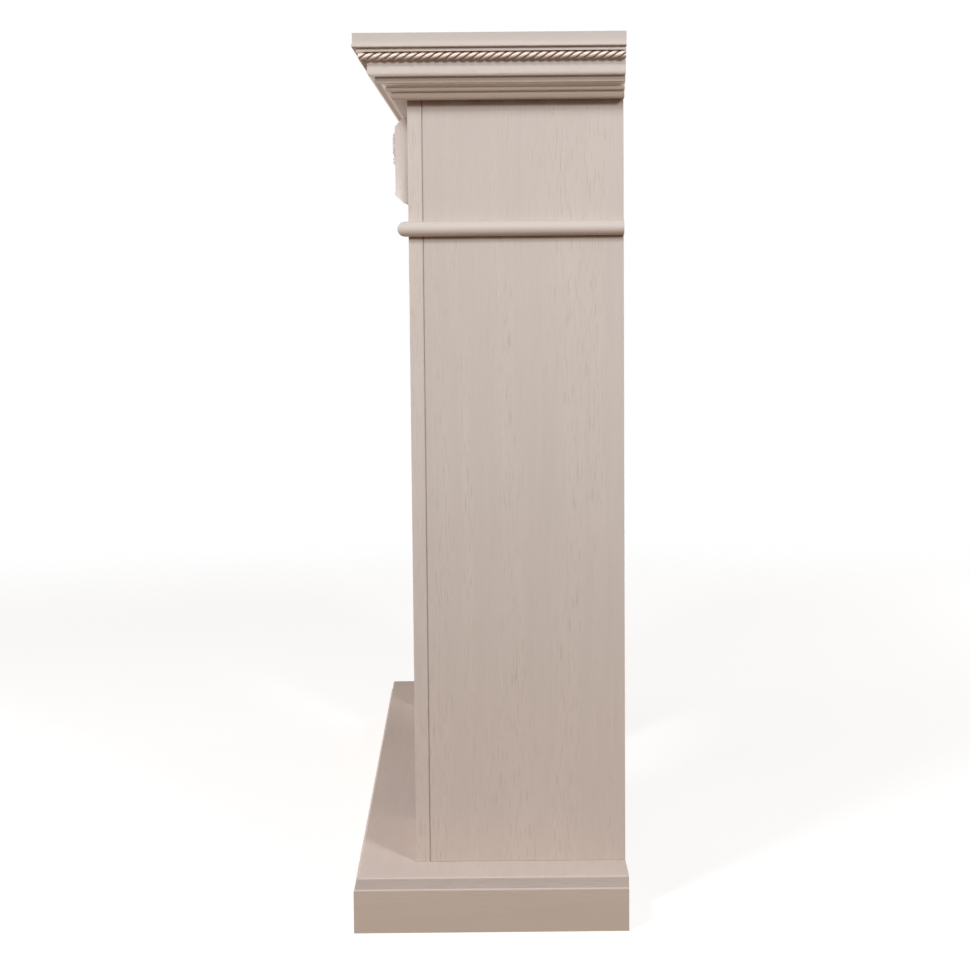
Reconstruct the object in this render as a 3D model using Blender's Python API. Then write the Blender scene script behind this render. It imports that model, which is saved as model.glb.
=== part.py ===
"""Free-standing fireplace mantelpiece of veneered boards and mitred mouldings.

Lengths are metres. X runs along the width, -Y is the front and +Z is up. The origin is on the
floor, under the middle of the hearth.
"""

import math

import bmesh
import bpy
from mathutils import Matrix, Vector

# Carcass
HEIGHT = 1.000
BODY_WIDTH = 1.032
BODY_DEPTH = 0.241
BOARD = 0.016
GAP = 0.0003
JOINT_CHAMFER = 0.0010

# Fire opening
PILASTER_WIDTH = 0.200
OPENING_HEIGHT = 0.605
BACK_RAIL_HEIGHT = 0.090

# Hearth
HEARTH_HEIGHT = 0.063
HEARTH_OVERHANG = 0.069
HEARTH_EDGE_LEAN = 0.0018
HEARTH_EDGE_ROUND = 0.0026
HEARTH_LIP = 0.0004
HEARTH_LEDGE_HEIGHT = 0.0030
HEARTH_LEDGE_DEPTH = 0.0016
PLINTH_CHAMFER = 0.0006

# Shelf
SHELF_OVERHANG = 0.0584
SHELF_FLARE = 0.0010
SHELF_FLARE_TOP = 0.0058
SHELF_ARRIS_ROUND = 0.0020

# Crown moulding, as outward distances from the body and heights above its underside
CORNICE_HEIGHT = 0.0535
SOFFIT_OUT = 0.0170
BAND_HEIGHT = 0.0082
BAND_ROUND = 0.0034
BEAD_QUIRK = 0.0007
BEAD_OUT = 0.0212
BEAD_BULGE = 0.0020
BEAD_HEIGHT = 0.0046
HOLLOW_OUT = 0.0324
HOLLOW_TOP = 0.0170
FILLET_OUT = 0.0340
FILLET_HEIGHT = 0.0071
OVOLO_FOOT_OUT = 0.0384
OVOLO_OUT = 0.0424
OVOLO_ROUND = 0.0048
OVOLO_TOP = 0.0372
TOP_FILLET_OUT = 0.0534
TOP_FILLET_HEIGHT = 0.0037

# Rope moulding
ROPE_RADIUS = 0.0046
ROPE_GROOVE = 0.0016
ROPE_STRANDS = 3
ROPE_PITCH = 0.0095

# Frieze and astragal
FRIEZE_HEIGHT = 0.134
ASTRAGAL_HEIGHT = 0.0168
ASTRAGAL_PROJECTION = 0.0120

# Sunk panels of the front boards
PANEL_MARGIN = 0.040
FRIEZE_PANEL_MARGIN = 0.017
PANEL_EDGE_STEPS = ((0.0016, 0.0004), (0.0030, 0.0018), (0.0020, 0.0008))

# Frieze blocks
BLOCK_WIDTH = 0.160
BLOCK_HEIGHT = 0.097
BLOCK_ABOVE_MIDDLE = 0.0015
BLOCK_FOOT = 0.0024
BLOCK_SHOULDER_IN = 0.0014
BLOCK_SHOULDER = 0.0059
BLOCK_RIM = 0.0150
BLOCK_EDGE = 0.0098
BLOCK_BORDER = 0.0030
BLOCK_FIELD_DEPTH = 0.0020

# Carved palmette, in the plane of a block's field and from its middle
PETALS = 7
PETAL_SPREAD = math.radians(158)
PETAL_LENGTH = 0.0415
PETAL_WIDTH = 0.0128
PETAL_RELIEF = 0.0084
OUTER_PETAL_SMALLER = 0.16
LEAF_MIDDLE_SWELL = 0.72
LEAF_TIP_SWELL = 0.42
FAN_ROOT_DROP = 0.0035
BUD_RADIUS = 0.0050
BUD_DROP = 0.0050
BUD_RELIEF = 0.0046
CALYX_LENGTH = 0.0190
CALYX_WIDTH = 0.0090
SCROLL_REACH = 0.0330
SCROLL_DROP = 0.0175
SCROLL_RADIUS = 0.0092
SCROLL_THICKNESS = 0.0025
SCROLL_TURNS = 1.15
SCROLL_WINDS_IN = 0.72
SCROLL_THINS = 0.30
SCROLL_SIDES = 5
STEM_RISE = 0.0030
SIDE_LEAVES = ((22, 0.0310), (64, 0.0215), (106, 0.0165))
SIDE_LEAF_WIDTH = 0.0092
SIDE_LEAF_RELIEF = 0.0030
BASE_BAR_LENGTH = 0.1240
BASE_BAR_RADIUS = 0.0034
BASE_BAR_DROP = 0.0352
BASE_BAR_RELIEF = 0.0046

ARC_STEPS = 5

HALF = BODY_WIDTH / 2
BACK_Y = (BODY_DEPTH + HEARTH_OVERHANG) / 2
FRONT_Y = BACK_Y - BODY_DEPTH
BEHIND_FRONT_Y = FRONT_Y + BOARD + GAP
SHELF_BOTTOM = HEIGHT - BOARD
CARCASS_TOP = SHELF_BOTTOM - GAP
CARCASS_BOTTOM = HEARTH_HEIGHT + GAP
CORNICE_BOTTOM = SHELF_BOTTOM - CORNICE_HEIGHT
ASTRAGAL_TOP = CORNICE_BOTTOM - FRIEZE_HEIGHT
ASTRAGAL_BOTTOM = ASTRAGAL_TOP - ASTRAGAL_HEIGHT
OPENING_TOP = HEARTH_HEIGHT + OPENING_HEIGHT
OPENING_HALF = HALF - PILASTER_WIDTH
HEARTH_BOARD_BOTTOM = HEARTH_HEIGHT - BOARD
PLINTH_TOP = HEARTH_BOARD_BOTTOM - GAP
BLOCK_CENTRE_X = HALF - PILASTER_WIDTH / 2
BLOCK_CENTRE_Z = ASTRAGAL_TOP + FRIEZE_HEIGHT / 2 + BLOCK_ABOVE_MIDDLE
FIELD_OUT = BLOCK_RIM - BLOCK_FIELD_DEPTH


def clear_scene():
    for obj in list(bpy.data.objects):
        bpy.data.objects.remove(obj, do_unlink=True)


def paint(name, colour, roughness):
    """A limed, open-pored finish with its own name, colour and roughness."""
    material = bpy.data.materials.new(name)
    material.use_nodes = True
    shader = material.node_tree.nodes["Principled BSDF"]
    shader.inputs["Base Color"].default_value = (*colour, 1.0)
    shader.inputs["Roughness"].default_value = roughness
    shader.inputs["Metallic"].default_value = 0.0
    return material


def place(name, bm, material):
    """Turn a finished bmesh into a named object."""
    bmesh.ops.recalc_face_normals(bm, faces=bm.faces)
    mesh = bpy.data.meshes.new(name)
    bm.to_mesh(mesh)
    bm.free()
    mesh.materials.append(material)
    obj = bpy.data.objects.new(name, mesh)
    bpy.context.scene.collection.objects.link(obj)
    return obj


def arc(start, end, outward_first, steps=ARC_STEPS):
    """Points of a quarter ellipse after start, up to and with end.

    It leaves start either outward, along the first coordinate, or upward, along the second.
    """
    points = []
    for step in range(1, steps + 1):
        angle = math.pi / 2 * step / steps
        early, late = math.sin(angle), 1 - math.cos(angle)
        shares = (early, late) if outward_first else (late, early)
        points.append(tuple(a + (b - a) * share for a, b, share in zip(start, end, shares)))
    return points


def ring(bm, points):
    """A closed loop of edges through the points."""
    verts = [bm.verts.new(point) for point in points]
    return [bm.edges.new((vert, verts[index - 1])) for index, vert in enumerate(verts)]


def loft(bm, loops):
    """A closed skin over loops with equally many points."""
    rings = [ring(bm, loop) for loop in loops]
    for lower, upper in zip(rings, rings[1:]):
        bmesh.ops.bridge_loops(bm, edges=lower + upper)
    for end in (rings[0], rings[-1]):
        bmesh.ops.contextual_create(bm, geom=end)


def saw(bm, point, normal):
    """Cut away what lies beyond the plane and close the cut."""
    geometry = bm.verts[:] + bm.edges[:] + bm.faces[:]
    cut = bmesh.ops.bisect_plane(
        bm, geom=geometry, plane_co=point, plane_no=normal, clear_outer=True, dist=1e-7
    )
    edges = [item for item in cut["geom_cut"] if isinstance(item, bmesh.types.BMEdge)]
    bmesh.ops.contextual_create(bm, geom=edges)


def mitre(bm, side, keep_front):
    """Saw a run along the mitre of one front corner; side is 1 for the right one, -1 for the left."""
    normal = Vector((side, 1, 0)).normalized()
    outward = normal if keep_front else -normal
    corner = Vector((side * HALF, FRONT_Y, 0))
    saw(bm, corner - outward * GAP / 2, outward)


def block_of_wood(low, high):
    """A rectangular board between two corners, still to be worked on."""
    bm = bmesh.new()
    bmesh.ops.create_cube(bm, size=1.0)
    bmesh.ops.scale(bm, verts=bm.verts, vec=Vector(high) - Vector(low))
    bmesh.ops.translate(bm, verts=bm.verts, vec=(Vector(low) + Vector(high)) / 2)
    return bm


def board(name, low, high, material):
    """A plain rectangular board."""
    return place(name, block_of_wood(low, high), material)


def moulded_board(profile):
    """A board whose edge profile runs along the front and both ends and stops at the back."""
    loops = []
    for outward, height in profile:
        across = HALF + outward
        ahead = FRONT_Y - outward
        loops.append([
            (-across, ahead, height),
            (across, ahead, height),
            (across, BACK_Y, height),
            (-across, BACK_Y, height),
        ])
    bm = bmesh.new()
    loft(bm, loops)
    return bm


def front_run(name, profile, material):
    """A moulding along the front, mitred at both ends."""
    reach = HALF + 2 * max(outward for outward, _ in profile)
    bm = bmesh.new()
    section = [[(end, FRONT_Y - outward, height) for outward, height in profile]
               for end in (-reach, reach)]
    loft(bm, section)
    mitre(bm, 1, True)
    mitre(bm, -1, True)
    return place(name, bm, material)


def side_run(name, profile, side, material):
    """A moulding along one end of the body, mitred at the front and square at the back."""
    reach = FRONT_Y - 2 * max(outward for outward, _ in profile)
    bm = bmesh.new()
    section = [[(side * (HALF + outward), end, height) for outward, height in profile]
               for end in (reach, BACK_Y)]
    loft(bm, section)
    mitre(bm, side, False)
    return place(name, bm, material)


def three_runs(family, profile, material):
    """The same moulding along the front, the left end and the right end."""
    front_run(f"{family}_front", profile, material)
    side_run(f"{family}_left", profile, -1, material)
    side_run(f"{family}_right", profile, 1, material)


def raise_heights(profile, base):
    return [(outward, base + height) for outward, height in profile]


def shelf_profile():
    """Upright edge that flares out towards its rounded lower arris."""
    edge = SHELF_OVERHANG - SHELF_FLARE
    points = [(SHELF_OVERHANG - SHELF_ARRIS_ROUND, SHELF_BOTTOM)]
    points += arc(points[-1], (SHELF_OVERHANG, SHELF_BOTTOM + SHELF_ARRIS_ROUND), True)
    points += [(edge, SHELF_BOTTOM + SHELF_FLARE_TOP), (edge, HEIGHT)]
    return points


def cornice_profile():
    """Crown moulding from its soffit up: band, bead, hollow, fillet, ovolo, rope seat, top fillet."""
    bead_bottom = BAND_HEIGHT + BEAD_QUIRK
    bead_middle = bead_bottom + BEAD_HEIGHT / 2
    bead_top = bead_bottom + BEAD_HEIGHT
    bead_nose = BEAD_OUT + BEAD_BULGE
    bead_shoulder = (BEAD_OUT + bead_nose) / 2
    fillet_top = HOLLOW_TOP + FILLET_HEIGHT
    top_fillet_bottom = CORNICE_HEIGHT - TOP_FILLET_HEIGHT
    points = [(GAP, 0), (SOFFIT_OUT - BAND_ROUND, 0)]
    points += arc(points[-1], (SOFFIT_OUT, BAND_ROUND), True)
    points += [(SOFFIT_OUT, BAND_HEIGHT), (BEAD_OUT, bead_bottom)]
    points += arc(points[-1], (bead_nose, bead_middle), True)
    points += arc(points[-1], (bead_shoulder, bead_top), False)
    points += arc(points[-1], (HOLLOW_OUT, HOLLOW_TOP), False)
    points += [(FILLET_OUT, HOLLOW_TOP), (FILLET_OUT, fillet_top), (OVOLO_FOOT_OUT, fillet_top)]
    points += arc(points[-1], (OVOLO_OUT, fillet_top + OVOLO_ROUND), True)
    points += [
        (OVOLO_OUT, OVOLO_TOP),
        (OVOLO_OUT, top_fillet_bottom),
        (TOP_FILLET_OUT, top_fillet_bottom),
        (TOP_FILLET_OUT, CORNICE_HEIGHT - GAP),
        (GAP, CORNICE_HEIGHT - GAP),
    ]
    return raise_heights(points, CORNICE_BOTTOM)


def astragal_profile():
    """Half-round bead with a short flat root."""
    radius = ASTRAGAL_HEIGHT / 2
    root = ASTRAGAL_PROJECTION - radius
    nose = (ASTRAGAL_PROJECTION, radius)
    points = [(GAP, 0), (root, 0)]
    points += arc(points[-1], nose, True)
    points += arc(nose, (root, ASTRAGAL_HEIGHT), False)
    points += [(GAP, ASTRAGAL_HEIGHT)]
    return raise_heights(points, ASTRAGAL_BOTTOM)


def hearth_board_profile():
    """From the foot up: a small lip, a rounded ledge, a leaning edge and a rounded arris."""
    ledge_out = HEARTH_OVERHANG - HEARTH_LEDGE_DEPTH
    head_out = ledge_out - HEARTH_EDGE_LEAN
    points = [
        (HEARTH_OVERHANG, HEARTH_BOARD_BOTTOM),
        (HEARTH_OVERHANG, HEARTH_BOARD_BOTTOM + HEARTH_LIP),
    ]
    points += arc(points[-1], (ledge_out, HEARTH_BOARD_BOTTOM + HEARTH_LEDGE_HEIGHT), False)
    points += [(head_out, HEARTH_HEIGHT - HEARTH_EDGE_ROUND)]
    points += arc(points[-1], (head_out - HEARTH_EDGE_ROUND, HEARTH_HEIGHT), False)
    return points


def plinth_profile():
    """Upright board with a fine chamfer on its outer arris, where it meets the hearth's board."""
    inner = HEARTH_OVERHANG - BOARD
    return [
        (inner, 0),
        (HEARTH_OVERHANG, 0),
        (HEARTH_OVERHANG, PLINTH_TOP - PLINTH_CHAMFER),
        (HEARTH_OVERHANG - PLINTH_CHAMFER, PLINTH_TOP),
        (inner, PLINTH_TOP),
    ]


def twisted_bar(bm, length):
    """A bar along X, laid from strands; one step turns it by half a strand."""
    count = 2 * ROPE_STRANDS
    steps = math.ceil(2 * length / ROPE_PITCH)
    turn = math.pi / ROPE_STRANDS
    points = []
    for index in range(count):
        radius = ROPE_RADIUS - (index % 2) * ROPE_GROOVE
        angle = turn * index
        points.append((-length / 2, radius * math.cos(angle), radius * math.sin(angle)))
    edges = ring(bm, points)
    face = bmesh.ops.contextual_create(bm, geom=edges)["faces"]
    bmesh.ops.spin(
        bm, geom=face, cent=(0, 0, 0), axis=(-1, 0, 0), dvec=(length / steps, 0, 0),
        angle=turn * steps, steps=steps,
    )
    sides = [item for item in bm.faces if len(item.verts) == 4]
    bmesh.ops.triangulate(bm, faces=sides, quad_method="SHORT_EDGE")


def rope_place():
    """Outward distance and height of the rope's axis, nested in the cornice's rebate."""
    outward = OVOLO_OUT + GAP + ROPE_RADIUS
    height = SHELF_BOTTOM - TOP_FILLET_HEIGHT - GAP - ROPE_RADIUS
    return outward, height


def rope_front(material):
    outward, height = rope_place()
    bm = bmesh.new()
    twisted_bar(bm, 2 * (HALF + outward + 2 * ROPE_RADIUS))
    bmesh.ops.translate(bm, verts=bm.verts, vec=(0, FRONT_Y - outward, height))
    mitre(bm, 1, True)
    mitre(bm, -1, True)
    place("rope_front", bm, material)


def rope_side(name, side, material):
    outward, height = rope_place()
    front = FRONT_Y - outward - 2 * ROPE_RADIUS
    length = BACK_Y - front
    bm = bmesh.new()
    twisted_bar(bm, length)
    bmesh.ops.rotate(bm, verts=bm.verts, matrix=Matrix.Rotation(side * math.pi / 2, 3, "Z"))
    centre = (side * (HALF + outward), (BACK_Y + front) / 2, height)
    bmesh.ops.translate(bm, verts=bm.verts, vec=centre)
    mitre(bm, side, False)
    place(name, bm, material)


def front_face(bm, low, high):
    """The face that looks forward between two heights."""
    for face in bm.faces:
        middle = face.calc_center_median().z
        if face.normal.y < -0.9 and low < middle < high:
            return face
    return None


def sink_panel(bm, low, high, margin):
    """Sink a panel with a moulded edge into the front face between two heights."""
    bm.normal_update()
    face = front_face(bm, low, high)
    bmesh.ops.inset_region(bm, faces=[face], thickness=margin, depth=0, use_even_offset=True)
    for width, depth in PANEL_EDGE_STEPS:
        bmesh.ops.inset_region(bm, faces=[face], thickness=width, depth=-depth, use_even_offset=True)


def slit(bm, heights):
    """Part every face at the given heights, so that a zone of the front can be worked on."""
    for height in heights:
        geometry = bm.verts[:] + bm.edges[:] + bm.faces[:]
        bmesh.ops.bisect_plane(bm, geom=geometry, plane_co=(0, 0, height), plane_no=(0, 0, 1))


def ease_upright_edge(bm, x, y):
    """Chamfer the upright arris at a place in plan."""
    edges = [
        edge for edge in bm.edges
        if all(abs(vert.co.x - x) < 1e-6 and abs(vert.co.y - y) < 1e-6 for vert in edge.verts)
    ]
    bmesh.ops.bevel(
        bm, geom=edges, offset=JOINT_CHAMFER, offset_type="OFFSET", segments=1, profile=0.5,
        affect="EDGES", material=-1,
    )


def pilaster(name, side, material):
    """Front board beside the opening, with one sunk panel below the astragal."""
    inner, outer = sorted((side * OPENING_HALF, side * HALF))
    bm = block_of_wood((inner, FRONT_Y, CARCASS_BOTTOM), (outer, FRONT_Y + BOARD, CARCASS_TOP))
    ease_upright_edge(bm, side * HALF, FRONT_Y + BOARD)
    slit(bm, (ASTRAGAL_BOTTOM,))
    sink_panel(bm, CARCASS_BOTTOM, ASTRAGAL_BOTTOM, PANEL_MARGIN)
    place(name, bm, material)


def lintel(material):
    """Front board over the opening, with one long sunk panel in the frieze."""
    across = OPENING_HALF - GAP
    bm = block_of_wood((-across, FRONT_Y, OPENING_TOP), (across, FRONT_Y + BOARD, CARCASS_TOP))
    slit(bm, (ASTRAGAL_TOP, CORNICE_BOTTOM))
    sink_panel(bm, ASTRAGAL_TOP, CORNICE_BOTTOM, FRIEZE_PANEL_MARGIN)
    place("lintel", bm, material)


def side_panel(name, side, material):
    inner, outer = sorted((side * (HALF - BOARD), side * HALF))
    bm = block_of_wood((inner, BEHIND_FRONT_Y, CARCASS_BOTTOM), (outer, BACK_Y, CARCASS_TOP))
    ease_upright_edge(bm, side * HALF, BEHIND_FRONT_Y)
    place(name, bm, material)


def niche_mitre(bm, side, keep_head):
    """Saw a board of the niche along the mitre of one upper corner."""
    normal = Vector((side, 0, -1)).normalized()
    outward = normal if keep_head else -normal
    corner = Vector((side * OPENING_HALF, 0, OPENING_TOP))
    saw(bm, corner - outward * GAP / 2, outward)


def niche_cheek(name, side, material):
    """Upright board at one side of the opening."""
    inner, outer = sorted((side * OPENING_HALF, side * (OPENING_HALF + BOARD)))
    high = (outer, BACK_Y, OPENING_TOP + BOARD)
    bm = block_of_wood((inner, BEHIND_FRONT_Y, CARCASS_BOTTOM), high)
    niche_mitre(bm, side, False)
    place(name, bm, material)


def niche_head(material):
    """Board over the opening, mitred onto both cheeks."""
    across = OPENING_HALF + BOARD
    bm = block_of_wood((-across, BEHIND_FRONT_Y, OPENING_TOP), (across, BACK_Y, OPENING_TOP + BOARD))
    niche_mitre(bm, 1, True)
    niche_mitre(bm, -1, True)
    place("niche_head", bm, material)


def back_rail(material):
    """Rail between the two end panels, under the shelf."""
    across = HALF - BOARD - GAP
    low = (-across, BACK_Y - BOARD, CARCASS_TOP - BACK_RAIL_HEIGHT)
    board("back_rail", low, (across, BACK_Y, CARCASS_TOP), material)


def hearth_back(material):
    across = HALF + HEARTH_OVERHANG - BOARD - GAP
    board("hearth_back", (-across, BACK_Y - BOARD, 0), (across, BACK_Y, PLINTH_TOP), material)


def block_edge_profile():
    """Inset from the outline and height above the board, from a block's foot up to its field."""
    return [
        (0, GAP),
        (0, BLOCK_FOOT),
        (BLOCK_SHOULDER_IN, BLOCK_SHOULDER),
        (BLOCK_EDGE, BLOCK_RIM),
        (BLOCK_EDGE + BLOCK_BORDER, BLOCK_RIM),
        (BLOCK_EDGE + BLOCK_BORDER + BLOCK_FIELD_DEPTH / 2, FIELD_OUT),
    ]


def block_body(bm):
    """The moulded block, lying in X and Y with its face up and its centre at the origin."""
    loops = []
    for inset, height in block_edge_profile():
        across = BLOCK_WIDTH / 2 - inset
        along = BLOCK_HEIGHT / 2 - inset
        loops.append([
            (-across, -along, height),
            (across, -along, height),
            (across, along, height),
            (-across, along, height),
        ])
    loft(bm, loops)


def leaf(bm, root, angle, length, width, relief):
    """A leaf, widest past its middle and full to its tip, half sunk in the field; 0 points up."""
    made = bmesh.ops.create_uvsphere(bm, u_segments=8, v_segments=6, radius=1.0)
    turn = Matrix.Rotation(-angle, 3, "Z")
    for vert in made["verts"]:
        along = vert.co.z
        swell = LEAF_MIDDLE_SWELL + LEAF_TIP_SWELL * along
        point = Vector((
            vert.co.x * width / 2 * swell,
            (along + 1) * length / 2,
            vert.co.y * relief * swell * math.hypot(1, along),
        ))
        vert.co = turn @ point + Vector((*root, FIELD_OUT))


def scroll_points(side):
    """A stem from the middle of the base that swings out and winds up into a volute."""
    centre = Vector((side * SCROLL_REACH, -SCROLL_DROP))
    stem_steps = 5
    volute_steps = 14
    points = []
    for step in range(stem_steps):
        share = step / stem_steps
        rise = STEM_RISE * (1 - math.cos(2 * math.pi * share)) / 2
        points.append(Vector((side * SCROLL_REACH * share, -SCROLL_DROP - SCROLL_RADIUS + rise)))
    for step in range(volute_steps + 1):
        share = step / volute_steps
        angle = -math.pi / 2 + side * 2 * math.pi * SCROLL_TURNS * share
        radius = SCROLL_RADIUS * (1 - SCROLL_WINDS_IN * share)
        points.append(centre + radius * Vector((math.cos(angle), math.sin(angle))))
    return points


def scroll(bm, side):
    """The stem as a tapering five-sided rod along its points."""
    points = scroll_points(side)
    loops = []
    for index, point in enumerate(points):
        before = points[max(index - 1, 0)]
        after = points[min(index + 1, len(points) - 1)]
        along = (after - before).normalized()
        across = Vector((-along.y, along.x, 0))
        thick = SCROLL_THICKNESS * (1 - SCROLL_THINS * index / len(points))
        loop = []
        for corner in range(SCROLL_SIDES):
            angle = 2 * math.pi * corner / SCROLL_SIDES + math.pi / 2
            offset = across * thick * math.cos(angle) + Vector((0, 0, thick * math.sin(angle)))
            loop.append(Vector((*point, FIELD_OUT)) + offset)
        loops.append(loop)
    loft(bm, loops)


def bud(bm):
    """A round bud at the root of the fan."""
    made = bmesh.ops.create_uvsphere(bm, u_segments=10, v_segments=6, radius=BUD_RADIUS)
    bmesh.ops.scale(bm, verts=made["verts"], vec=(1, 1, BUD_RELIEF / BUD_RADIUS))
    bmesh.ops.translate(bm, verts=made["verts"], vec=(0, -BUD_DROP, FIELD_OUT))


def base_bar(bm):
    """A rounded bar under the palmette, across the border."""
    made = bmesh.ops.create_uvsphere(bm, u_segments=8, v_segments=6, radius=1.0)
    bmesh.ops.rotate(bm, verts=made["verts"], matrix=Matrix.Rotation(math.pi / 2, 3, "Y"))
    size = (BASE_BAR_LENGTH / 2, BASE_BAR_RADIUS, BASE_BAR_RELIEF)
    bmesh.ops.scale(bm, verts=made["verts"], vec=size)
    bmesh.ops.translate(bm, verts=made["verts"], vec=(0, -BASE_BAR_DROP, FIELD_OUT))


def fan_leaves():
    """Root, angle, length, width and relief of each leaf of the palmette."""
    root = (0, -FAN_ROOT_DROP)
    leaves = [((0, -BUD_DROP), math.pi, CALYX_LENGTH, CALYX_WIDTH, SIDE_LEAF_RELIEF)]
    for index in range(PETALS):
        share = 2 * index / (PETALS - 1) - 1
        size = 1 - OUTER_PETAL_SMALLER * share * share
        angle = share * PETAL_SPREAD / 2
        leaves.append((root, angle, PETAL_LENGTH * size, PETAL_WIDTH, PETAL_RELIEF * size))
    for side in (-1, 1):
        root = (side * (SCROLL_REACH + SCROLL_RADIUS), -SCROLL_DROP)
        for degrees, length in SIDE_LEAVES:
            angle = side * math.radians(degrees)
            leaves.append((root, angle, length, SIDE_LEAF_WIDTH, SIDE_LEAF_RELIEF))
    return leaves


def palmette_shapes():
    """Each carved shape as a bmesh of its own."""
    shapes = []
    for size in fan_leaves():
        bm = bmesh.new()
        leaf(bm, *size)
        shapes.append(bm)
    for side in (-1, 1):
        bm = bmesh.new()
        scroll(bm, side)
        shapes.append(bm)
    for shape in (bud, base_bar):
        bm = bmesh.new()
        shape(bm)
        shapes.append(bm)
    return shapes


def stand_up(obj, side):
    """Turn a lying block so that its face looks forward, and put it on its pilaster."""
    obj.location = (side * BLOCK_CENTRE_X, FRONT_Y, BLOCK_CENTRE_Z)
    obj.rotation_euler = (math.pi / 2, 0, 0)


def frieze_block(name, side, material):
    """A moulded block with its carving joined on."""
    bm = bmesh.new()
    block_body(bm)
    block = place(name, bm, material)
    stand_up(block, side)
    carving = bpy.data.collections.new(f"{name}_carving")
    bpy.context.scene.collection.children.link(carving)
    for index, shape in enumerate(palmette_shapes()):
        helper = place(f"{name}_carving_{index:02d}", shape, material)
        bpy.context.scene.collection.objects.unlink(helper)
        carving.objects.link(helper)
        stand_up(helper, side)
        helper.hide_render = True
        helper.display_type = "WIRE"
    join = block.modifiers.new("carving", "BOOLEAN")
    join.operation = "UNION"
    join.operand_type = "COLLECTION"
    join.collection = carving
    join.solver = "EXACT"


def build():
    clear_scene()
    shelf = paint("shelf_finish", (0.655, 0.584, 0.530), 0.42)
    mouldings = paint("moulding_finish", (0.640, 0.568, 0.512), 0.40)
    ropework = paint("rope_finish", (0.690, 0.612, 0.552), 0.38)
    boards = paint("front_finish", (0.622, 0.546, 0.490), 0.45)
    ends = paint("end_panel_finish", (0.600, 0.516, 0.462), 0.46)
    carved = paint("carved_finish", (0.648, 0.576, 0.520), 0.42)
    lining = paint("lining_finish", (0.540, 0.470, 0.420), 0.52)
    hearth = paint("hearth_finish", (0.560, 0.470, 0.420), 0.44)

    place("mantel_shelf", moulded_board(shelf_profile()), shelf)
    three_runs("cornice", cornice_profile(), mouldings)
    rope_front(ropework)
    rope_side("rope_left", -1, ropework)
    rope_side("rope_right", 1, ropework)
    three_runs("astragal", astragal_profile(), mouldings)
    pilaster("pilaster_left", -1, boards)
    pilaster("pilaster_right", 1, boards)
    lintel(boards)
    side_panel("side_panel_left", -1, ends)
    side_panel("side_panel_right", 1, ends)
    frieze_block("frieze_block_left", -1, carved)
    frieze_block("frieze_block_right", 1, carved)
    niche_cheek("niche_cheek_left", -1, lining)
    niche_cheek("niche_cheek_right", 1, lining)
    niche_head(lining)
    back_rail(lining)
    place("hearth_top", moulded_board(hearth_board_profile()), hearth)
    three_runs("hearth", plinth_profile(), hearth)
    hearth_back(lining)


build()
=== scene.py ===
import math

import bmesh
import bpy
from mathutils import Matrix, Vector
from mathutils.bvhtree import BVHTree


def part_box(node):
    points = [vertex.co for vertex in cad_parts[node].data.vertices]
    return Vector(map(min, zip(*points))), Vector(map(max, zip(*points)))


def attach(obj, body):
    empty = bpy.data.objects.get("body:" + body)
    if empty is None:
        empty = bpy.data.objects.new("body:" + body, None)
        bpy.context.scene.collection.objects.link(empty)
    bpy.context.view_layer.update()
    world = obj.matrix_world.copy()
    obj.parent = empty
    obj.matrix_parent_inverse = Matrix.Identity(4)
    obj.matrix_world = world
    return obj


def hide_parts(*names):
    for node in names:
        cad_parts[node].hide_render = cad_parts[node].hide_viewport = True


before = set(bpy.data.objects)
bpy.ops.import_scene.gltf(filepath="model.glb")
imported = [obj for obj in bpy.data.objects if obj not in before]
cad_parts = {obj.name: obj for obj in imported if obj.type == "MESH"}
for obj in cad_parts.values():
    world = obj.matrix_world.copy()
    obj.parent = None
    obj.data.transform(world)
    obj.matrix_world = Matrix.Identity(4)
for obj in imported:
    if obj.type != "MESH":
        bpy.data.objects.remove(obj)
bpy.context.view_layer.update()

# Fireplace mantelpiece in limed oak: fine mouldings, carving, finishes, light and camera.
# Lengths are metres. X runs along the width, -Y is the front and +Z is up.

BODY = "root"

# Places, read from the frame
PILASTER_LOW, PILASTER_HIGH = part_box("pilaster_right")
SHELF_LOW, SHELF_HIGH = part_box("mantel_shelf")
CORNICE_LOW, CORNICE_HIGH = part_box("cornice_right")
ASTRAGAL_LOW, ASTRAGAL_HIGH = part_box("astragal_right")
ROPE_LOW, ROPE_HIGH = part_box("rope_right")
BLOCK_LOW, BLOCK_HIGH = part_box("frieze_block_right")
LINTEL_LOW, LINTEL_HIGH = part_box("lintel")
HEARTH_LOW, HEARTH_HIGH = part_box("hearth_top")
HALF = PILASTER_HIGH.x
FRONT_Y = PILASTER_LOW.y
BACK_Y = SHELF_HIGH.y
BOARD = PILASTER_HIGH.y - PILASTER_LOW.y
GAP = CORNICE_LOW.x - HALF
BLOCK_CENTRE = (BLOCK_LOW + BLOCK_HIGH) / 2

# Eased arrises
BOARD_ARRIS = 0.0005
SHELF_ARRIS = 0.0008
MOULDING_ARRIS = 0.00028
JOINT_CHAMFER = 0.0010

# Shelf
SHELF_OVERHANG = SHELF_HIGH.x - HALF
SHELF_FLARE = 0.0010
SHELF_FLARE_TOP = 0.0058
SHELF_ARRIS_ROUND = 0.0020

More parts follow.
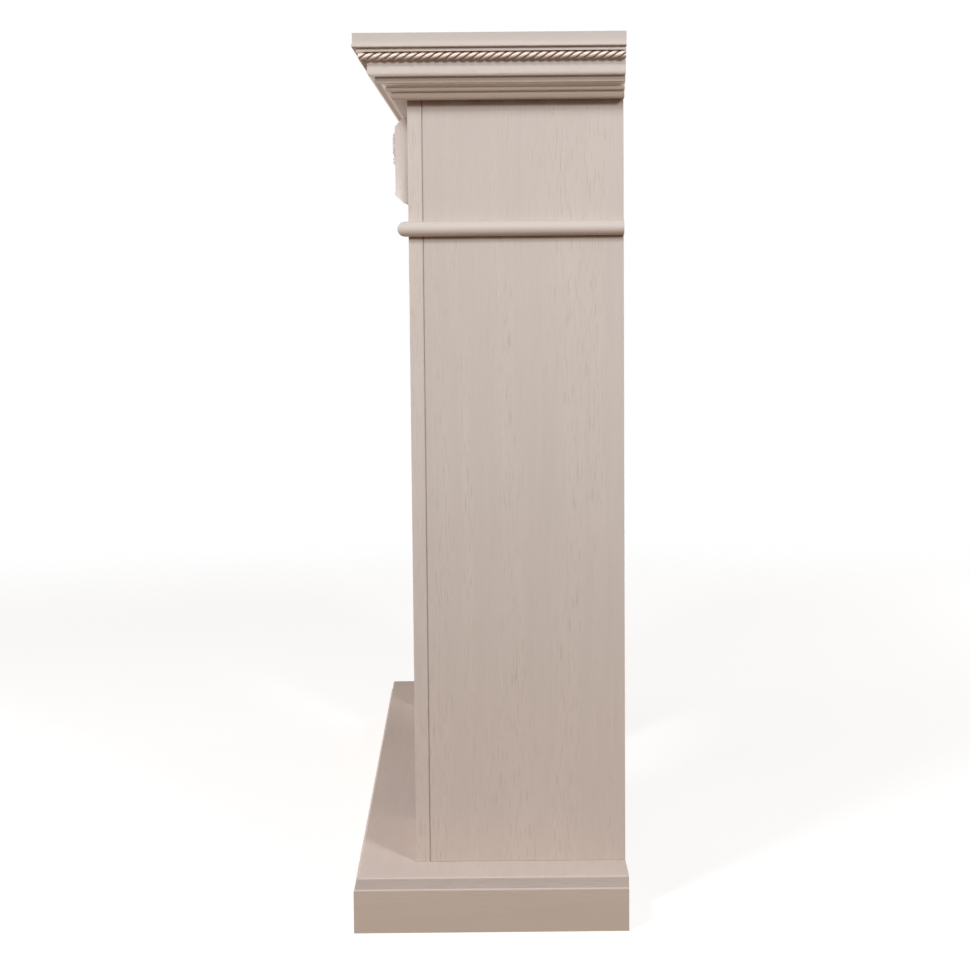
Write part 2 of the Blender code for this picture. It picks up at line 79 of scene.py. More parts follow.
# Crown moulding, as outward distances from the body and heights above its underside
SOFFIT_OUT = 0.0170
BAND_HEIGHT = 0.0082
BAND_ROUND = 0.0034
BEAD_QUIRK = 0.0007
BEAD_OUT = 0.0212
BEAD_BULGE = 0.0020
BEAD_HEIGHT = 0.0046
HOLLOW_OUT = 0.0324
HOLLOW_TOP = 0.0170
FILLET_OUT = 0.0340
FILLET_HEIGHT = 0.0071
OVOLO_FOOT_OUT = 0.0384
OVOLO_OUT = 0.0424
OVOLO_ROUND = 0.0048
OVOLO_TOP = 0.0372
TOP_FILLET_OUT = CORNICE_HIGH.x - HALF
TOP_FILLET_HEIGHT = 0.0037
OVOLO_BOTTOM = CORNICE_LOW.z + HOLLOW_TOP + FILLET_HEIGHT

# Rope moulding
ROPE_RADIUS = 0.0046
ROPE_STRANDS = 3
ROPE_PITCH = 0.0095
STRAND_RADIUS_SHARE = 0.54
STRAND_SIDES = 10
ROPE_STEP = 0.0008

# Sunk panels
PANEL_MARGIN = 0.040
FRIEZE_PANEL_MARGIN = 0.017
PANEL_QUIRK = 0.0005
PANEL_EDGE_WIDTH = 0.0066
PANEL_DEPTH = 0.0030
PANEL_EDGE_STEPS = 12

# Hearth
HEARTH_OVERHANG = HEARTH_HIGH.x - HALF
HEARTH_EDGE_LEAN = 0.0018
HEARTH_EDGE_ROUND = 0.0026
HEARTH_LIP = 0.0004
HEARTH_LEDGE_HEIGHT = 0.0030
HEARTH_LEDGE_DEPTH = 0.0016

# Frieze blocks
BLOCK_FOOT = 0.0024
BLOCK_SHOULDER_IN = 0.0014
BLOCK_SHOULDER = 0.0059
BLOCK_RIM = 0.0150
BLOCK_EDGE = 0.0098
BLOCK_BORDER = 0.0030
BLOCK_FIELD_DEPTH = 0.0020
FIELD_OUT = BLOCK_RIM - BLOCK_FIELD_DEPTH

# Carved palmette, in the plane of a block's field and from its middle
PETALS = 7
PETAL_SPREAD = math.radians(158)
PETAL_LENGTH = 0.0415
PETAL_WIDTH = 0.0128
PETAL_RELIEF = 0.0084
OUTER_PETAL_SMALLER = 0.16
LEAF_MIDDLE_SWELL = 0.72
LEAF_TIP_SWELL = 0.42
VEIN_WIDTH = 0.20
VEIN_DEPTH = 0.30
RIB_COUNT = 5
RIB_DEPTH = 0.07
FAN_ROOT_DROP = 0.0035
BUD_RADIUS = 0.0050
BUD_DROP = 0.0050
BUD_RELIEF = 0.0046
CALYX_LENGTH = 0.0190
CALYX_WIDTH = 0.0090
SCROLL_REACH = 0.0330
SCROLL_DROP = 0.0175
SCROLL_RADIUS = 0.0092
SCROLL_THICKNESS = 0.0025
SCROLL_TURNS = 1.15
SCROLL_WINDS_IN = 0.72
SCROLL_THINS = 0.30
SCROLL_EYE = 0.0030
STEM_RISE = 0.0030
SIDE_LEAVES = ((22, 0.0310), (64, 0.0215), (106, 0.0165))
SIDE_LEAF_WIDTH = 0.0092
SIDE_LEAF_RELIEF = 0.0030
BASE_BAR_LENGTH = 0.1240
BASE_BAR_RADIUS = 0.0034
BASE_BAR_DROP = 0.0352
BASE_BAR_RELIEF = 0.0046
CARVING_GRAIN = 0.00045

# Fineness of the meshes
ARC_STEPS = 12
RUN_SECTIONS = 14
ARRIS_SEGMENTS = 2
STEM_STEPS = 16
VOLUTE_STEPS = 56
SCROLL_SIDES = 12
# Rays and reach that measure how shut in each place is, for the brown of glaze and painted shade in
# hollows
GLAZE_AND_SHADE_RAYS = 28
GLAZE_AND_SHADE_REACH = 0.014
PLACE_TOLERANCE = 1e-5
WELD = 1e-6
SAW_TOLERANCE = 1e-7

# Shares of a direction that lie along an axis: those above which it counts as along it
ALONG_RUN = 0.999
FORWARD = 0.9
SIDEWAYS = 0.7
UPWARD = 0.35

# Angles in degrees: those above which an edge is an arris to ease, and below which faces shade as one
MOULDING_TURN = 25.0
BLOCK_TURN = 30.0
BOARD_TURN = 40.0
SQUARE_TURN = 60.0
FACE_SMOOTHING = 20.0
CARVING_SMOOTHING = 40.0
ROPE_SMOOTHING = 50.0

# Colours, as linear red, green and blue: the finish's own, and lighter or darker copies of it that
# paint light and shade, as noted
CREAM = (0.640, 0.560, 0.508)
# Darker, warmer copy at the feet of the uprights: painted shade where less light reaches
FOOT_SHADED_CREAM = (0.612, 0.508, 0.452)
CARVING_CREAM = (0.650, 0.580, 0.536)
# The hearth's top, lighter than its upright faces: painted light
HEARTH_CREAM = (0.652, 0.552, 0.500)
# Browner, darker copies for the crown's band, bead and fillet: partly glaze, partly painted shade
BROWNED_AND_SHADED_CREAM = (0.590, 0.470, 0.392)
BAND_BROWN_AND_SHADE = (0.450, 0.345, 0.280)
# Browner, darker underside of the bead moulding: painted shade
BEAD_UNDERSIDE_SHADE = (0.505, 0.360, 0.285)
# Darker copies for the hearth's upright faces and the plinth: painted shade; the plinth is also
# browner in its own tone
HEARTH_EDGE_SHADED = (0.548, 0.455, 0.410)
PLINTH_BROWN_AND_SHADE = (0.578, 0.462, 0.380)
# Brown of glaze in hollows and of painted shade under the mouldings
GLAZE_AND_SHADE_BROWN = (0.240, 0.122, 0.073)
PORE_BROWN = (0.330, 0.235, 0.180)
WHITE = (1.0, 1.0, 1.0)

# How much lighter or darker than its colour each place is; on the shelf's lip, the crown, the rope and
# the bead this paints light and shade
# Shelf edge lighter at its flared lip: painted light
SHELF_LIP_PAINTED_LIGHT = 1.02
SHELF_SHADE = 0.91
# Crown: top fillet lighter as a painted highlight, ovolo and its foot lighter as painted light, fillet
# darker as painted shade, hollow lighter as painted light
TOP_FILLET_HIGHLIGHT = 1.35
OVOLO_PAINTED_LIGHT = 1.09
OVOLO_FOOT_PAINTED_LIGHT = 1.24
FILLET_PAINTED_SHADE = 0.72
HOLLOW_PAINTED_LIGHT = 1.38
# Rope strands lighter: a painted highlight
ROPE_HIGHLIGHT = 1.56
# Upper half of the bead moulding lighter: painted light
BEAD_SHADE = 1.03
PILASTER_SHADE = 1.04
LINING_SHADE = 0.88

# Distances above a level between which the tone changes, painting light and shade, and the heights
# over which the uprights lighten from their shaded feet
SHELF_CHANGE = (0.003, 0.009)
OVOLO_CHANGE = (0.0025, 0.0050)
OVOLO_FOOT_CHANGE = (-0.0004, 0.0)
FILLET_CHANGE = (-0.0006, -0.0002)
HOLLOW_CHANGE = (0.0, 0.001)
BAND_CHANGE = (0.0, BAND_HEIGHT * 0.8)
UPRIGHT_CHANGE = (0.10, 0.70)

# Painted shade in the glaze's brown, in bands where shadow falls: under the shelf's arris, under the
# crown and the bead, and on the rope's underside; each with its height, its reach and its strength
SHELF_SHADE_LINE = (SHELF_LOW.z, 0.0018, 0.80)
ROPE_SHADE_LINE = (ROPE_LOW.z, ROPE_RADIUS * 1.25, 0.95)
BODY_SHADE_LINES = ((CORNICE_LOW.z, 0.012, 0.85), (ASTRAGAL_LOW.z, 0.006, 0.85))

# Oak: how finely each pattern of the finish repeats, and how deep its pores are
GRAIN_STRETCH = 0.055
GRAIN_AXES = {
    "X": (GRAIN_STRETCH, 1.0, 1.0),
    "Y": (1.0, GRAIN_STRETCH, 1.0),
    "Z": (1.0, 1.0, GRAIN_STRETCH),
}
PORE_FINENESS = 620.0
FIBRE_FINENESS = 150.0
FIGURE_FINENESS = 34.0
CLOUD_FINENESS = 5.0
PATCH_FINENESS = 90.0
LINE_FINENESS = 60.0
PORE_DEPTH = 0.00010

# Camera
IMAGE_SIDE = 970
FOCAL_PIXELS = 2301.8
SENSOR = 36.0
CAMERA_PLACE = Vector((3.1096, -0.0092, 0.7755))
CAMERA_PITCH = 0.1061
CAMERA_YAW = 0.0024
CAMERA_ROLL = -0.0089

# Softboxes: place in plan from the near end panel, height, side, watts and tint
LIGHTS = {
    "rear_light": ((2.10, 1.19), 1.875, 0.34, 34.2, (0.90, 0.96, 1.0)),
    "front_light": ((1.89, -1.323), 2.64, 0.47, 41.0, (0.92, 0.96, 1.0)),
    "fill_light": ((-0.35, -2.30), 0.12, 0.5, 37.0, (0.98, 0.98, 1.0)),
    "back_light": ((-2.40, 2.20), 0.37, 0.7, 15.0, (0.96, 0.98, 1.0)),
}
LIGHT_TARGET_HEIGHT = 0.75
BEHIND_MIDDLE = 0.035

# Sky: its two colours and the steepness of a look down or up at which each is full
SKY_ABOVE = (0.415, 0.380, 0.345)
SKY_BELOW = (0.245, 0.195, 0.160)
SKY_FULL_BELOW = -0.3
SKY_FULL_ABOVE = 0.6

# Floor: it glows a little to stay pale, and fades out between two distances
FLOOR_RADIUS = 3.0
FLOOR_SIDES = 96
FLOOR_GREY = (0.45, 0.45, 0.45)
FLOOR_ROUGHNESS = 0.9
FLOOR_GLOW = 0.70
FLOOR_FADE = (1.6, 2.9)


class Value:
    """A shader socket whose arithmetic adds Math nodes."""

    def __init__(self, finish, socket):
        self.finish = finish
        self.socket = socket

    def math(self, operation, *operands):
        return self.finish.node("ShaderNodeMath", {"operation": operation}, dict(enumerate(operands)))

    def __add__(self, other):
        return self.math("ADD", self, other)

    def __sub__(self, other):
        return self.math("SUBTRACT", self, other)

    def __rsub__(self, other):
        return self.math("SUBTRACT", other, self)

    def __mul__(self, other):
        return self.math("MULTIPLY", self, other)

    __radd__ = __add__
    __rmul__ = __mul__

    def between(self, low, high):
        """0 below low, 1 above high, with a smooth step from one to the other."""
        inputs = {"Value": self, "From Min": low, "From Max": high}
        return self.finish.node("ShaderNodeMapRange", {"interpolation_type": "SMOOTHSTEP"}, inputs)


class Finish:
    """A material and the nodes that make it."""

    def __init__(self, name):
        self.material = bpy.data.materials.new(name)
        self.material.use_nodes = True
        self.tree = self.material.node_tree
        self.shader = self.tree.nodes["Principled BSDF"]

    def node(self, kind, settings=None, inputs=None, output=0):
        """A node with its settings, then its sockets' values or links; gives one of its outputs."""
        node = self.tree.nodes.new(kind)
        for name, setting in (settings or {}).items():
            setattr(node, name, setting)
        for name, value in (inputs or {}).items():
            self.feed(node.inputs[name], value)
        return Value(self, node.outputs[output])

    def feed(self, socket, value):
        if isinstance(value, Value):
            self.tree.links.new(value.socket, socket)
        else:
            socket.default_value = value

    def place(self):
        return self.node("ShaderNodeTexCoord", output="Object")

    def stretched(self, scale):
        """Object coordinates, scaled along each axis."""
        return self.node("ShaderNodeMapping", None, {"Vector": self.place(), "Scale": scale})

    def noise(self, vector, scale, detail=2.0, roughness=0.5):
        inputs = {"Vector": vector, "Scale": scale, "Detail": detail, "Roughness": roughness}
        return self.node("ShaderNodeTexNoise", None, inputs)

    def mix(self, share, first, second, blend="MIX"):
        """Two colours mixed by a share."""
        settings = {"data_type": "RGBA", "blend_type": blend}
        inputs = {0: share, 6: colour(first), 7: colour(second)}
        return self.node("ShaderNodeMix", settings, inputs, output=2)

    def dress(self, base, roughness, height):
        """Feed the shader: colour, roughness and the pores' relief."""
        inputs = {"Strength": 1.0, "Distance": PORE_DEPTH, "Height": height}
        self.feed(self.shader.inputs["Base Color"], base)
        self.feed(self.shader.inputs["Roughness"], roughness)
        self.feed(self.shader.inputs["Normal"], self.node("ShaderNodeBump", None, inputs))
        return self.material


def colour(value):
    return value if isinstance(value, Value) else (*value, 1.0)


def shade(tone, factor):
    return tuple(channel * factor for channel in tone)


def limed_oak(name, tone, grain, roughness=0.46, pore_share=0.20, glaze=0.0, glaze_start=0.0,
              lines=(), tones=()):
    """Cream lacquer over open-pored oak, with brown where the surface is shut in: partly glaze, partly
    painted shade.

    grain is the axis that the fibres follow and pore_share how dark the pores are. glaze is how
    strong that brown is and glaze_start how shut in a place is before it shows. lines holds
    (height, reach, strength) of bands of painted shade, in the same brown, where shadow falls under
    mouldings.
    tones holds (low, high, tone) upward: the finish changes to that tone between the two heights; on
    the mouldings, the shelf and the uprights these changes paint light and shade.
    """
    finish = Finish(name)
    fibres = finish.stretched(GRAIN_AXES[grain])
    pore_field = finish.noise(fibres, PORE_FINENESS, 3.0, 0.62)
    figure = finish.noise(fibres, FIGURE_FINENESS, 2.0, 0.55).between(0.40, 0.62)
    pores = (1.0 - pore_field.between(0.33, 0.47)) * (0.25 + figure * 0.75)
    clouds = finish.noise(finish.place(), CLOUD_FINENESS, 3.0, 0.6)
    fine = finish.noise(fibres, FIBRE_FINENESS, 2.0, 0.5)
    light = clouds * 0.06 + fine * 0.07 + figure * 0.03 + 0.92
    height = finish.node("ShaderNodeSeparateXYZ", None, {"Vector": finish.place()}, output="Z")
    for low, high, next_tone in tones:
        tone = finish.mix(height.between(low, high), tone, next_tone)
    greys = {"Red": light, "Green": light, "Blue": light}
    base = finish.mix(1.0, tone, finish.node("ShaderNodeCombineColor", None, greys), "MULTIPLY")
    base = finish.mix(pores * pore_share, base, PORE_BROWN)
    # Brown where the surface is shut in: partly glaze, partly painted shade
    if glaze:
        hollow = finish.node("ShaderNodeAttribute", {"attribute_name": "hollow"}, output="Fac")
        patches = finish.noise(finish.place(), PATCH_FINENESS, 2.0, 0.5) * 0.5 + 0.75
        glaze_and_shade_share = (hollow * patches * glaze).between(glaze_start, 1.0)
        base = finish.mix(glaze_and_shade_share, base, GLAZE_AND_SHADE_BROWN)
    # Painted shade: brown bands along the given heights, where shadow falls under mouldings
    for level, reach, strength in lines:
        away = (height - level).math("ABSOLUTE", height - level)
        uneven = finish.noise(finish.place(), LINE_FINENESS) * 0.6 + 0.7
        line = (1.0 - away.between(0.0, reach)) * uneven * strength
        base = finish.mix(line, base, GLAZE_AND_SHADE_BROWN)
    dull = roughness + pores * 0.12 + (clouds - 0.5) * 0.10
    relief = 1.0 - pores + fine * 0.25
    return finish.dress(base, dull, relief)


def arc(start, end, outward_first):
    """Points of a quarter ellipse after start, up to and with end.

    It leaves start either outward, along the first coordinate, or upward, along the second.
    """
    points = []
    for step in range(1, ARC_STEPS + 1):
        angle = math.pi / 2 * step / ARC_STEPS
        early, late = math.sin(angle), 1 - math.cos(angle)
        shares = (early, late) if outward_first else (late, early)
        points.append(tuple(a + (b - a) * share for a, b, share in zip(start, end, shares)))
    return points


def ring(bm, points):
    """A closed loop of edges through the points."""
    verts = [bm.verts.new(point) for point in points]
    return [bm.edges.new((vert, verts[index - 1])) for index, vert in enumerate(verts)]


def loft(bm, loops):
    """A closed skin over loops with equally many points."""
    rings = [ring(bm, loop) for loop in loops]
    for lower, upper in zip(rings, rings[1:]):
        bmesh.ops.bridge_loops(bm, edges=lower + upper)
    for end in (rings[0], rings[-1]):
        bmesh.ops.contextual_create(bm, geom=end)


def saw(bm, point, normal):
    """Cut away what lies beyond the plane and close the cut."""
    geometry = bm.verts[:] + bm.edges[:] + bm.faces[:]
    cut = bmesh.ops.bisect_plane(
        bm, geom=geometry, plane_co=point, plane_no=normal, clear_outer=True, dist=SAW_TOLERANCE
    )
    edges = [item for item in cut["geom_cut"] if isinstance(item, bmesh.types.BMEdge)]
    bmesh.ops.contextual_create(bm, geom=edges)


def mitre(bm, side, keep_front):
    """Saw a run along the mitre of one front corner; side is 1 for the right one, -1 for the left."""
    normal = Vector((side, 1, 0)).normalized()
    outward = normal if keep_front else -normal
    corner = Vector((side * HALF, FRONT_Y, 0))
    saw(bm, corner - outward * GAP / 2, outward)


def ease(bm, width, least_angle=MOULDING_TURN, along=None):
    """Round the arrises that turn by more than an angle, or only those that run along an axis."""
    bm.normal_update()
    edges = []
    for edge in bm.edges:
        if not edge.is_manifold or edge.calc_face_angle() < math.radians(least_angle):
            continue
        run = (edge.verts[1].co - edge.verts[0].co).normalized()
        if along is None or abs(run.dot(along)) > ALONG_RUN:
            edges.append(edge)
    bmesh.ops.bevel(
        bm, geom=edges, offset=width, offset_type="OFFSET", segments=ARRIS_SEGMENTS, profile=0.5,
        affect="EDGES", material=-1, clamp_overlap=True,
    )


def hemisphere(count):
    """Directions spread evenly over the half space round +Z, denser near it as light falls."""
    golden = math.pi * (3 - math.sqrt(5))
    rays = []
    for index in range(count):
        share = (index + 0.5) / count
        radius = math.sqrt(share)
        turn = golden * index
        rays.append(Vector((radius * math.cos(turn), radius * math.sin(turn), math.sqrt(1 - share))))
    return rays


def tree_of(nodes):
    """A search tree over the solids of several nodes."""
    bm = bmesh.new()
    for node in nodes:
        bm.from_mesh(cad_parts[node].data)
    tree = BVHTree.FromBMesh(bm)
    bm.free()
    return tree


def settle_glaze(bm, neighbours=()):
    """Note on each vertex how shut in it is, from 0 in the open to 1, as the attribute hollow, which
    the finish browns as glaze and as painted shade.
    """
    bm.normal_update()
    trees = [BVHTree.FromBMesh(bm)]
    if neighbours:
        trees.append(tree_of(neighbours))
    layer = bm.verts.layers.float.new("hollow")
    rays = hemisphere(GLAZE_AND_SHADE_RAYS)
    for vert in bm.verts:
        turn = vert.normal.to_track_quat("Z", "X").to_matrix()
        start = vert.co + vert.normal * GAP
        shut = 0.0
        for ray in rays:
            direction = turn @ ray
            reached = [tree.ray_cast(start, direction, GLAZE_AND_SHADE_REACH)[3] for tree in trees]
            near = min((length for length in reached if length is not None), default=GLAZE_AND_SHADE_REACH)
            shut += 1 - near / GLAZE_AND_SHADE_REACH
        vert[layer] = shut / len(rays)


def show(name, bm, materials, nodes, smoothing=FACE_SMOOTHING):
    """Make a finished piece of a bmesh, in the place of its nodes."""
    bmesh.ops.recalc_face_normals(bm, faces=bm.faces)
    mesh = bpy.data.meshes.new(name)
    bm.to_mesh(mesh)
    bm.free()
    for material in materials:
        mesh.materials.append(material)
    mesh.shade_smooth()
    mesh.set_sharp_from_angle(angle=math.radians(smoothing))
    return stand_for(bpy.data.objects.new(name, mesh), nodes)


def stand_for(piece, nodes):
    """Put a piece in the scene, in the place of its nodes."""
    bpy.context.scene.collection.objects.link(piece)
    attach(piece, BODY)
    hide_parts(*nodes)
    return piece


def end_faces_along_y(bm):
    """Give the faces that look left or right the second material, whose grain runs along Y."""
    bm.normal_update()
    for face in bm.faces:
        if abs(face.normal.x) > SIDEWAYS:
            face.material_index = 1


def hearth_faces(bm):
    """The top keeps the lighter copy of the finish; the upright faces of the front and the ends get a
    darker copy of their own, painted shade for faces that meet less light.
    """
    bm.normal_update()
    for face in bm.faces:
        if face.normal.z < UPWARD:
            face.material_index = 1 + (abs(face.normal.x) > abs(face.normal.y))


def moulded_board(profile):
    """A board whose edge profile runs along the front and both ends and stops at the back."""
    loops = []
    for outward, height in profile:
        across = HALF + outward
        ahead = FRONT_Y - outward
        loops.append([
            (-across, ahead, height),
            (across, ahead, height),
            (across, BACK_Y, height),
            (-across, BACK_Y, height),
        ])
    bm = bmesh.new()
    loft(bm, loops)
    return bm


def spaced(start, end, count):
    return [start + (end - start) * index / (count - 1) for index in range(count)]


def front_run(profile):
    """A moulding along the front, mitred at both ends."""
    reach = HALF + 2 * max(outward for outward, _ in profile)
    bm = bmesh.new()
    loft(bm, [[(x, FRONT_Y - outward, height) for outward, height in profile]
              for x in spaced(-reach, reach, RUN_SECTIONS)])
    mitre(bm, 1, True)
    mitre(bm, -1, True)
    return bm


def side_run(profile, side):
    """A moulding along one end of the body, mitred at the front and square at the back."""
    reach = FRONT_Y - 2 * max(outward for outward, _ in profile)
    bm = bmesh.new()
    loft(bm, [[(side * (HALF + outward), y, height) for outward, height in profile]
              for y in spaced(reach, BACK_Y, RUN_SECTIONS)])
    mitre(bm, side, False)
    return bm


def three_runs(piece, family, profile, materials, neighbours, arris=MOULDING_ARRIS):
    """The same moulding along the front, the left end and the right end; arris 0 keeps its edges."""
    for place, bm, grain in (
        ("front", front_run(profile), "X"),
        ("left", side_run(profile, -1), "Y"),
        ("right", side_run(profile, 1), "Y"),
    ):
        if arris:
            ease(bm, arris, along=Vector((grain == "X", grain == "Y", 0)))
        settle_glaze(bm, neighbours)
        show(f"{piece}_{place}", bm, [materials[grain]], [f"{family}_{place}"])


def raise_heights(profile, base):
    return [(outward, base + height) for outward, height in profile]


def shelf_profile():
    """Upright edge that flares out towards its rounded lower arris."""
    edge = SHELF_OVERHANG - SHELF_FLARE
    points = [(SHELF_OVERHANG - SHELF_ARRIS_ROUND, SHELF_LOW.z)]
    points += arc(points[-1], (SHELF_OVERHANG, SHELF_LOW.z + SHELF_ARRIS_ROUND), True)
    points += [(edge, SHELF_LOW.z + SHELF_FLARE_TOP), (edge, SHELF_HIGH.z)]
    return points


def cornice_profile():
    """Crown moulding from its soffit up: band, bead, hollow, fillet, ovolo, rope seat, top fillet."""
    height = CORNICE_HIGH.z - CORNICE_LOW.z
    bead_bottom = BAND_HEIGHT + BEAD_QUIRK
    bead_middle = bead_bottom + BEAD_HEIGHT / 2
    bead_top = bead_bottom + BEAD_HEIGHT
    bead_nose = BEAD_OUT + BEAD_BULGE
    bead_shoulder = (BEAD_OUT + bead_nose) / 2
    fillet_top = HOLLOW_TOP + FILLET_HEIGHT
    top_fillet_bottom = height + GAP - TOP_FILLET_HEIGHT
    points = [(GAP, 0), (SOFFIT_OUT - BAND_ROUND, 0)]
    points += arc(points[-1], (SOFFIT_OUT, BAND_ROUND), True)
    points += [(SOFFIT_OUT, BAND_HEIGHT), (BEAD_OUT, bead_bottom)]
    points += arc(points[-1], (bead_nose, bead_middle), True)
    points += arc(points[-1], (bead_shoulder, bead_top), False)
    points += arc(points[-1], (HOLLOW_OUT, HOLLOW_TOP), False)
    points += [(FILLET_OUT, HOLLOW_TOP), (FILLET_OUT, fillet_top), (OVOLO_FOOT_OUT, fillet_top)]
    points += arc(points[-1], (OVOLO_OUT, fillet_top + OVOLO_ROUND), True)
    points += [
        (OVOLO_OUT, OVOLO_TOP),
        (OVOLO_OUT, top_fillet_bottom),
        (TOP_FILLET_OUT, top_fillet_bottom),
        (TOP_FILLET_OUT, height),
        (GAP, height),
    ]
    return raise_heights(points, CORNICE_LOW.z)


def astragal_profile():
    """Half-round bead with a short flat root."""
    height = ASTRAGAL_HIGH.z - ASTRAGAL_LOW.z
    projection = ASTRAGAL_HIGH.x - HALF
    radius = height / 2
    root = projection - radius
    nose = (projection, radius)
    points = [(GAP, 0), (root, 0)]
    points += arc(points[-1], nose, True)
    points += arc(nose, (root, height), False)
    points += [(GAP, height)]
    return raise_heights(points, ASTRAGAL_LOW.z)


def hearth_board_profile():
    """From the foot up: a small lip, a rounded ledge, a leaning edge and a rounded arris."""
    ledge_out = HEARTH_OVERHANG - HEARTH_LEDGE_DEPTH
    head_out = ledge_out - HEARTH_EDGE_LEAN
    points = [(HEARTH_OVERHANG, HEARTH_LOW.z), (HEARTH_OVERHANG, HEARTH_LOW.z + HEARTH_LIP)]
    points += arc(points[-1], (ledge_out, HEARTH_LOW.z + HEARTH_LEDGE_HEIGHT), False)
    points += [(head_out, HEARTH_HIGH.z - HEARTH_EDGE_ROUND)]
    points += arc(points[-1], (head_out - HEARTH_EDGE_ROUND, HEARTH_HIGH.z), False)
    return points


def plinth_profile():
    """Upright board, closed up against the hearth's board."""
    inner = HEARTH_OVERHANG - BOARD
    return [(inner, 0), (HEARTH_OVERHANG, 0), (HEARTH_OVERHANG, HEARTH_LOW.z), (inner, HEARTH_LOW.z)]


def strand_points():
    """Outline of three round strands laid together, as (radius, angle) pairs."""
    strand = ROPE_RADIUS * STRAND_RADIUS_SHARE
    away = ROPE_RADIUS - strand
    half = math.pi / ROPE_STRANDS
    points = []
    for index in range(ROPE_STRANDS):
        for side in range(STRAND_SIDES):
            turn = half * (2 * side / STRAND_SIDES - 1)
            radius = away * math.cos(turn) + math.sqrt(strand**2 - (away * math.sin(turn))**2)
            points.append((radius, 2 * half * index + turn))
    return points


def laid_rope(length):
    """A rope along X with its strands laid round each other, and how deep each point lies."""
    bm = bmesh.new()
    points = [(-length / 2, radius * math.cos(angle), radius * math.sin(angle))
              for radius, angle in strand_points()]
    face = bmesh.ops.contextual_create(bm, geom=ring(bm, points))["faces"]
    steps = math.ceil(length / ROPE_STEP)
    turn = 2 * math.pi / ROPE_STRANDS * length / ROPE_PITCH
    bmesh.ops.spin(
        bm, geom=face, cent=(0, 0, 0), axis=(-1, 0, 0), dvec=(length / steps, 0, 0),
        angle=turn, steps=steps,
    )
    layer = bm.verts.layers.float.new("hollow")
    deepest = min(radius for radius, _ in strand_points())
    for vert in bm.verts:
        radius = math.hypot(vert.co.y, vert.co.z)
        vert[layer] = (ROPE_RADIUS - radius) / (ROPE_RADIUS - deepest)
    return bm


def rope_axis():
    """Outward distance and height of the rope's axis."""
    return ROPE_HIGH.x - ROPE_RADIUS - HALF, (ROPE_LOW.z + ROPE_HIGH.z) / 2


def rope_front(finish):
    outward, height = rope_axis()
    bm = laid_rope(2 * (HALF + outward + 2 * ROPE_RADIUS))
    bmesh.ops.translate(bm, verts=bm.verts, vec=(0, FRONT_Y - outward, height))
    mitre(bm, 1, True)
    mitre(bm, -1, True)
    show("rope_moulding_front", bm, [finish], ["rope_front"], ROPE_SMOOTHING)


def rope_side(place, side, finish):
    outward, height = rope_axis()
    front = FRONT_Y - outward - 2 * ROPE_RADIUS
    bm = laid_rope(BACK_Y - front)
    bmesh.ops.rotate(bm, verts=bm.verts, matrix=Matrix.Rotation(side * math.pi / 2, 3, "Z"))
    centre = (side * (HALF + outward), (BACK_Y + front) / 2, height)
    bmesh.ops.translate(bm, verts=bm.verts, vec=centre)
    mitre(bm, side, False)
    show(f"rope_moulding_{place}", bm, [finish], [f"rope_{place}"], ROPE_SMOOTHING)


def solid_board(low, high):
    """A plain board between two corners."""
    bm = bmesh.new()
    bmesh.ops.create_cube(bm, size=1.0)
    bmesh.ops.scale(bm, verts=bm.verts, vec=high - low)
    bmesh.ops.translate(bm, verts=bm.verts, vec=(low + high) / 2)
    return bm


def front_face(bm, low, high):
    """The face that looks forward between two heights."""
    for face in bm.faces:
        if face.normal.y < -FORWARD and low < face.calc_center_median().z < high:
            return face
    return None


def slit(bm, heights):
    """Part every face at the given heights, so that a zone of the front can be worked on."""
    for height in heights:
        geometry = bm.verts[:] + bm.edges[:] + bm.faces[:]
        bmesh.ops.bisect_plane(bm, geom=geometry, plane_co=(0, 0, height), plane_no=(0, 0, 1))


def sink_panel(bm, low, high, margin):
    """Sink a panel with a quirk and an ogee edge into the front between two heights."""
    bm.normal_update()
    face = front_face(bm, low, high)
    bmesh.ops.inset_region(bm, faces=[face], thickness=margin, depth=0, use_even_offset=True)
    bmesh.ops.inset_region(bm, faces=[face], thickness=PANEL_QUIRK / 4, depth=-PANEL_QUIRK,
                           use_even_offset=True)
    width = (PANEL_EDGE_WIDTH - PANEL_QUIRK / 4) / PANEL_EDGE_STEPS
    fall = PANEL_DEPTH - PANEL_QUIRK
    for step in range(PANEL_EDGE_STEPS):
        before, after = (math.cos(math.pi * (step + extra) / PANEL_EDGE_STEPS) for extra in (0, 1))
        depth = fall * (before - after) / 2
        bmesh.ops.inset_region(bm, faces=[face], thickness=width, depth=-depth, use_even_offset=True)


def ease_upright_edge(bm, x, y):
    """Chamfer the upright arris at a place in plan."""
    edges = [
        edge for edge in bm.edges
        if all(math.hypot(vert.co.x - x, vert.co.y - y) < PLACE_TOLERANCE for vert in edge.verts)
    ]
    bmesh.ops.bevel(
        bm, geom=edges, offset=JOINT_CHAMFER, offset_type="OFFSET", segments=1, profile=0.5,
        affect="EDGES", material=-1,
    )


def pilaster(place, side, finish):
    """A front board, set down on the hearth, with a sunk panel below the bead moulding."""
    node = f"pilaster_{place}"
    low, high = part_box(node)
    low.z = HEARTH_HIGH.z
    bm = solid_board(low, high)
    ease_upright_edge(bm, side * HALF, high.y)
    slit(bm, (ASTRAGAL_LOW.z,))
    sink_panel(bm, low.z, ASTRAGAL_LOW.z, PANEL_MARGIN)
    ease(bm, BOARD_ARRIS, SQUARE_TURN)
    show(f"pilaster_board_{place}", bm, [finish], [node])


